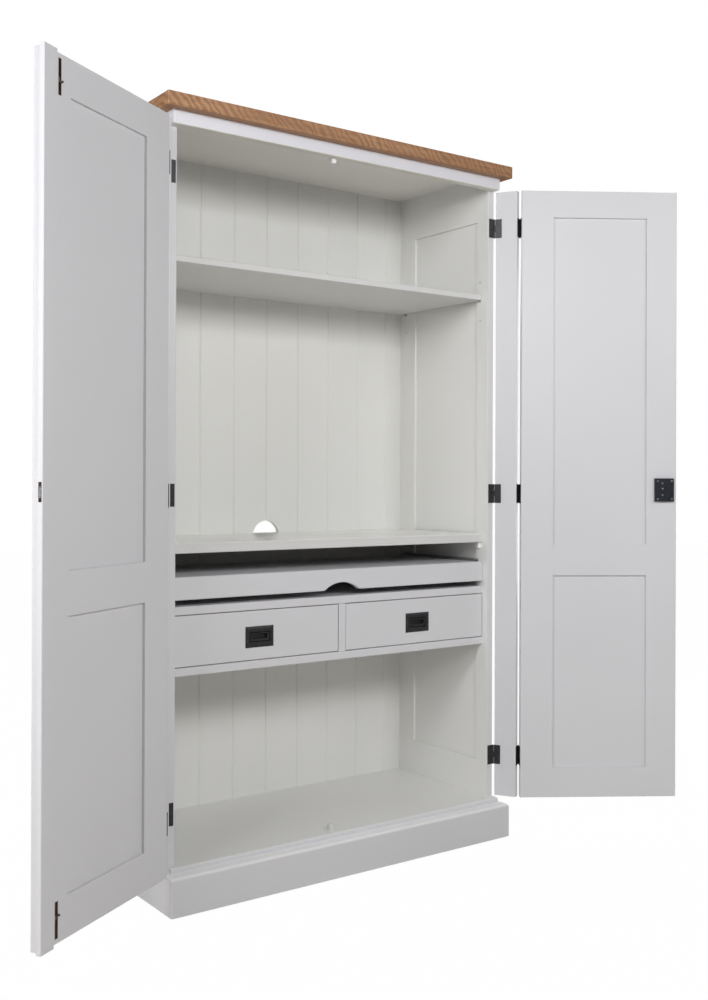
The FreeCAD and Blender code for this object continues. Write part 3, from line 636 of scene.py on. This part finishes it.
def add_half_head(mesh, radius, bevel, half_slot, low, high, place):
    """One half of a slotted screw head."""
    def arc(reach, height):
        lean = math.asin(half_slot / reach)
        sweep = math.pi - 2 * lean
        angles = [lean + sweep * step / HALF_HEAD_STEPS for step in range(HALF_HEAD_STEPS + 1)]
        return round_points(mesh, place, reach, height, angles)

    rings = [arc(radius, low), arc(radius, high - bevel), arc(radius - bevel, high)]
    for lower, upper in zip(rings, rings[1:]):
        for index in range(HALF_HEAD_STEPS):
            mesh.faces.new((lower[index], lower[index + 1], upper[index + 1], upper[index]))
        mesh.faces.new((lower[-1], lower[0], upper[0], upper[-1]))
    mesh.faces.new(rings[-1])
    mesh.faces.new(list(reversed(rings[0])))


# A screw head's shape, as shares of its radius
SLOT_DEPTH = 0.22
SLOT_HALF_WIDTH = 0.14
RIM_BEVEL = 0.15
CORE_RADIUS = 0.97
CORE_DEPTH = 0.2

# Radius of screws and rivets, and how far they stand proud, in millimetres
HINGE_SCREW = (2.7, 0.08)
LOCK_SCREW = (3.2, 0.9)
LOCK_RIVET = (3.0, 1.4)
BOLT_SCREW = (2.3, 0.25)
STRIKE_SCREW = (2.2, 0.3)
HANDLE_SCREW = (2.4, 0.35)


def add_screw(mesh, place, size, turn):
    """A slotted screw head, sunk so that it stands a little proud."""
    radius, proud = (measure * MM for measure in size)
    floor = proud - SLOT_DEPTH * radius
    sunk = floor - CORE_DEPTH * radius
    core = CORE_RADIUS * radius
    bevel = min(RIM_BEVEL * radius, proud)
    half_slot = SLOT_HALF_WIDTH * radius
    place = place @ Matrix.Rotation(turn, 4, "Z")
    add_lathe(mesh, [(0, floor), (core, floor), (core, sunk)], place)
    for half_turn in (0, math.pi):
        half = place @ Matrix.Rotation(half_turn, 4, "Z")
        add_half_head(mesh, radius, bevel, half_slot, floor, proud, half)


def add_rivet(mesh, place, size):
    """A domed rivet head."""
    radius, proud = (measure * MM for measure in size)
    rings = 5
    profile = [(0, proud)]
    for ring in range(1, rings + 1):
        angle = math.pi / 2 * ring / rings
        profile.append((radius * math.sin(angle), proud * math.cos(angle)))
    add_lathe(mesh, profile + [(radius, -0.3 * proud)], place)


def finished_piece(name, mesh, finish, body):
    """Turn a built mesh into a piece that rides on a body."""
    data = bpy.data.meshes.new(name)
    bmesh.ops.recalc_face_normals(mesh, faces=mesh.faces)
    mesh.to_mesh(data)
    mesh.free()
    piece = bpy.data.objects.new(name, data)
    bpy.context.scene.collection.objects.link(piece)
    data.materials.append(finish)
    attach(piece, body)


# Screws in the hinges' leaves, in millimetres: the hinges' heights, then the middle of a leaf
# and its face from the hinge line, and each screw's way up and out from that middle
HINGE_HEIGHTS = (231.0, 1009.0, 1800.0)
LEAF_MIDDLE = 12.3
LEAF_FACE = 0.2
SCREW_LIFTS = (-19.0, 0.0, 19.0)
SCREW_ZIGZAG = (2.6, -2.6, 2.6)
HINGE_SLOT_TURN = 0.7


def hinge_screws(side, on, leaves):
    """Flush screws in the leaves of one body's hinges.

    Each leaf is given by its hinge line and by the side of the line that it lies on, 1 or -1."""
    mesh = bmesh.new()
    outer = -1 if side == "left" else 1
    move = Matrix() if on == "carcass" else opened(side, on == "door")
    count = 0
    for line, way in leaves:
        axis = shut_axis(side, line)
        for height in HINGE_HEIGHTS:
            for lift, zigzag in zip(SCREW_LIFTS, SCREW_ZIGZAG):
                reach = LEAF_MIDDLE + zigzag
                if line == "carcass":
                    offset = Vector((-outer * reach, way * LEAF_FACE, height + lift))
                    outward = (0, -way, 0)
                else:
                    offset = Vector((outer * way * LEAF_FACE, reach, height + lift))
                    outward = (-outer * way, 0, 0)
                count += 1
                place = move @ facing(axis + offset * MM, outward)
                add_screw(mesh, place, HINGE_SCREW, count * HINGE_SLOT_TURN)
    body = "carcass" if on == "carcass" else side + "_" + on
    name = "%s_%s_hinge_screws" % (side, on)
    finished_piece(name, mesh, black_iron, body)


def build_hinge_screws():
    """The screws of every hinge leaf, on the carcass, the strips and the doors."""
    for side in ("left", "right"):
        hinge_screws(side, "carcass", [("carcass", 1)])
        hinge_screws(side, "strip", [("carcass", -1), ("fold", 1)])
        hinge_screws(side, "door", [("fold", -1)])


# Screws and rivets on the lock's case, in millimetres from its edges
LOCK_SCREW_INSET = 7.5
LOCK_RIVET_INSET = 35.0
LOCK_RIVET_LIFTS = (19.0, 38.5, 54.5)
LOCK_SLOT_TURN = 0.4


def build_lock_fixings():
    """Corner screws and a column of rivets on the lock's case."""
    low, high = shut_box("lock_case", "right")
    inset = LOCK_SCREW_INSET * MM
    screws = bmesh.new()
    count = 0
    for z in (low.z + inset, high.z - inset):
        for x in (low.x + inset, high.x - inset):
            place = door_place("right", (x, high.y, z), BACKWARD)
            add_screw(screws, place, LOCK_SCREW, LOCK_SLOT_TURN + count)
            count += 1
    finished_piece("lock_screws", screws, worn_iron, "right_door")
    rivets = bmesh.new()
    column = low.x + LOCK_RIVET_INSET * MM
    for lift in LOCK_RIVET_LIFTS:
        place = door_place("right", (column, high.y, low.z + lift * MM), BACKWARD)
        add_rivet(rivets, place, LOCK_RIVET)
    finished_piece("lock_rivets", rivets, worn_iron, "right_door")


# The flush bolts' plates and the mortises round them, in millimetres
BOLT_PLATE_LENGTH = 75.0
BOLT_SCREW_INSET = 6.0
MORTISE_RIM = 1.3
MORTISE_LIFT = 0.12


def build_bolt_fixings():
    """Screws in the bolts' plates, and the bare edges of the mortises round them."""
    low, high = shut_box("bolt_plates", "left")
    x = (low.x + high.x) / 2
    half_width = (high.x - low.x) / 2
    half_length = BOLT_PLATE_LENGTH / 2 * MM
    screw_reach = half_length - BOLT_SCREW_INSET * MM
    rim_width = half_width + MORTISE_RIM * MM
    rim_length = half_length + MORTISE_RIM / 2 * MM
    screws = bmesh.new()
    edges = bmesh.new()
    for plate, middle in enumerate((low.z + half_length, high.z - half_length)):
        for z in (middle - screw_reach, middle + screw_reach):
            place = door_place("left", (x, high.y, z), BACKWARD)
            add_screw(screws, place, BOLT_SCREW, plate + z / MM)
        place = door_place("left", (x, high.y, middle), BACKWARD)
        inner = [
            edges.verts.new(place @ Vector((a * half_width, b * half_length, MORTISE_LIFT * MM)))
            for a, b in SQUARE_CORNERS
        ]
        outer = [
            edges.verts.new(place @ Vector((a * rim_width, b * rim_length, 0)))
            for a, b in SQUARE_CORNERS
        ]
        for corner in range(4):
            following = (corner + 1) % 4
            edges.faces.new((inner[corner], outer[corner], outer[following], inner[following]))
    finished_piece("bolt_plate_screws", screws, aged_bronze, "left_door")
    finished_piece("bolt_mortise_edges", edges, cut_wood, "left_door")


STRIKE_SCREW_LIFTS = (-16.0, 16.0)


def build_strike_fixings():
    """Two screws in the strike plate."""
    low, high = shut_box("strike_plate", "left")
    middle = (low + high) / 2
    screws = bmesh.new()
    for lift in STRIKE_SCREW_LIFTS:
        place = door_place("left", (high.x, middle.y, middle.z + lift * MM), RIGHTWARD)
        add_screw(screws, place, STRIKE_SCREW, lift)
    finished_piece("strike_plate_screws", screws, aged_bronze, "left_door")


HANDLE_SCREW_REACHES = (-33.0, 33.0)
HANDLE_SCREW_LIFTS = (-18.5, 18.5)


def build_handle_screws():
    """Four screws in each drawer handle's plate."""
    for side in ("left", "right"):
        low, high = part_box(side + "_drawer_handle_plate")
        middle = (low + high) / 2
        screws = bmesh.new()
        for across in HANDLE_SCREW_REACHES:
            for lift in HANDLE_SCREW_LIFTS:
                corner = (middle.x + across * MM, low.y, middle.z + lift * MM)
                add_screw(screws, facing(corner, FRONTWARD), HANDLE_SCREW, across + lift)
        name = side + "_handle_screws"
        finished_piece(name, screws, black_iron, side + "_drawer")


FLOOR_COLOUR = (0.605, 0.585, 0.535, 1)
FLOOR_REACH = 14.0
FLOOR_WHITENESS = 0.99


def build_floor():
    """A plain pale floor, well past the view, that is white where the camera sees it."""
    material, start = new_finish("studio_floor")
    matt = start.add("ShaderNodeBsdfDiffuse", (), {"Color": FLOOR_COLOUR})
    white = start.add("ShaderNodeEmission", (), {"Strength": 1.0})
    straight = start.add("ShaderNodeLightPath", output="Is Camera Ray")
    both = start.add("ShaderNodeMixShader", (), {0: straight * FLOOR_WHITENESS, 1: matt, 2: white})
    start.add("ShaderNodeOutputMaterial", (), {"Surface": both})
    mesh = bmesh.new()
    mesh.faces.new([
        mesh.verts.new((a * FLOOR_REACH, b * FLOOR_REACH, 0)) for a, b in SQUARE_CORNERS
    ])
    data = bpy.data.meshes.new("floor")
    mesh.to_mesh(data)
    mesh.free()
    floor = bpy.data.objects.new("floor", data)
    data.materials.append(material)
    bpy.context.scene.collection.objects.link(floor)


def soft_box(name, place, target, size, power, tint=(1, 1, 1)):
    """A large area light aimed at a point."""
    light = bpy.data.lights.new(name, "AREA")
    light.shape = "RECTANGLE"
    light.size, light.size_y = size
    light.energy = power
    light.color = tint
    lamp = bpy.data.objects.new(name, light)
    lamp.visible_camera = False
    lamp.location = place
    lamp.rotation_euler = (Vector(target) - Vector(place)).to_track_quat("-Z", "Y").to_euler()
    bpy.context.scene.collection.objects.link(lamp)


SURROUND_COLOUR = (1.0, 0.98, 0.92, 1)
SURROUND_STRENGTH = 0.125
SEEN_COLOUR = (1, 1, 1, 1)
LEFT_TINT = (0.96, 0.965, 1.0)
FRONT_TINT = (0.98, 0.985, 1.0)
FRONT_BOX = (0.8, 0.7)
FRONT_TARGET = (0, 0.3, 1.0)


def build_light():
    """A weak surround, white where the camera sees it, with soft boxes all round."""
    world = bpy.data.worlds.new("studio")
    bpy.context.scene.world = world
    world.use_nodes = True
    world.node_tree.nodes.clear()
    start = Signal(world.node_tree)
    dim = {"Color": SURROUND_COLOUR, "Strength": SURROUND_STRENGTH}
    surround = start.add("ShaderNodeBackground", (), dim)
    seen = start.add("ShaderNodeBackground", (), {"Color": SEEN_COLOUR, "Strength": 1.0})
    straight = start.add("ShaderNodeLightPath", output="Is Camera Ray")
    both = start.add("ShaderNodeMixShader", (), {0: straight, 1: surround, 2: seen})
    start.add("ShaderNodeOutputWorld", (), {"Surface": both})
    soft_box("left_key", (-3.1, -1.3, 2.3), (0.2, 0.2, 1.0), (0.8, 0.8), 44, LEFT_TINT)
    soft_box("front_key", (-0.8, -2.7, 2.1), FRONT_TARGET, FRONT_BOX, 25, FRONT_TINT)
    soft_box("right_front_light", (0.7, -3.56, 2.27), FRONT_TARGET, FRONT_BOX, 26, FRONT_TINT)
    soft_box("right_light", (2.6, -3.2, 2.27), FRONT_TARGET, FRONT_BOX, 7)
    soft_box("left_front_light", (-2.4, -3.56, 2.27), FRONT_TARGET, FRONT_BOX, 10)
    soft_box("left_fill", (-3.4, -0.15, 1.1), (-0.8, -0.1, 0.9), (1.2, 1.6), 22)
    soft_box("right_fill", (3.6, 0.7, 1.3), (0.7, 0.2, 1.0), (1.4, 1.8), 32)
    soft_box("back_light", (0.9, 3.6, 3.0), (0, 0.4, 1.0), (2.4, 1.8), 72)
    soft_box("top_light", (0.2, 1.3, 4.0), (0, 0.3, 1.9), (1.6, 1.2), 28)


# The photograph's size, its optical middle and its focal length, in pixels
PICTURE_WIDTH = 708
PICTURE_HEIGHT = 1000
MIDDLE_COLUMN = 354.9
MIDDLE_ROW = 477.18
FOCAL_LENGTH = 1129.787

# The camera's sensor in millimetres, its place in metres and its turn in degrees
SENSOR = 36.0
CAMERA_PLACE = (-1.7756, -2.4345, 1.0464)
CAMERA_YAW = 35.851
CAMERA_PITCH = 0.170
CAMERA_ROLL = 0.200


def build_camera():
    """The photograph's viewpoint."""
    camera = bpy.data.cameras.new("camera")
    camera.sensor_fit = "AUTO"
    camera.sensor_width = SENSOR
    camera.lens = FOCAL_LENGTH * SENSOR / PICTURE_HEIGHT
    camera.shift_x = -(MIDDLE_COLUMN - PICTURE_WIDTH / 2) / PICTURE_HEIGHT
    camera.shift_y = (MIDDLE_ROW - PICTURE_HEIGHT / 2) / PICTURE_HEIGHT
    yaw, pitch, roll = map(math.radians, (CAMERA_YAW, CAMERA_PITCH, CAMERA_ROLL))
    flat = math.cos(pitch)
    ahead = Vector((math.sin(yaw) * flat, math.cos(yaw) * flat, math.sin(pitch)))
    level = Vector((math.cos(yaw), -math.sin(yaw), 0))
    over = level.cross(ahead)
    right = level * math.cos(roll) + over * math.sin(roll)
    up = over * math.cos(roll) - level * math.sin(roll)
    turn = Matrix((right, up, -ahead)).transposed().to_4x4()
    holder = bpy.data.objects.new("camera", camera)
    holder.matrix_world = Matrix.Translation(CAMERA_PLACE) @ turn
    bpy.context.scene.collection.objects.link(holder)
    bpy.context.scene.camera = holder


dress_nodes()
build_hinge_screws()
build_lock_fixings()
build_bolt_fixings()
build_strike_fixings()
build_handle_screws()
build_floor()
build_light()
build_camera()
bpy.context.scene.view_settings.view_transform = "Standard"

bpy.context.view_layer.update()
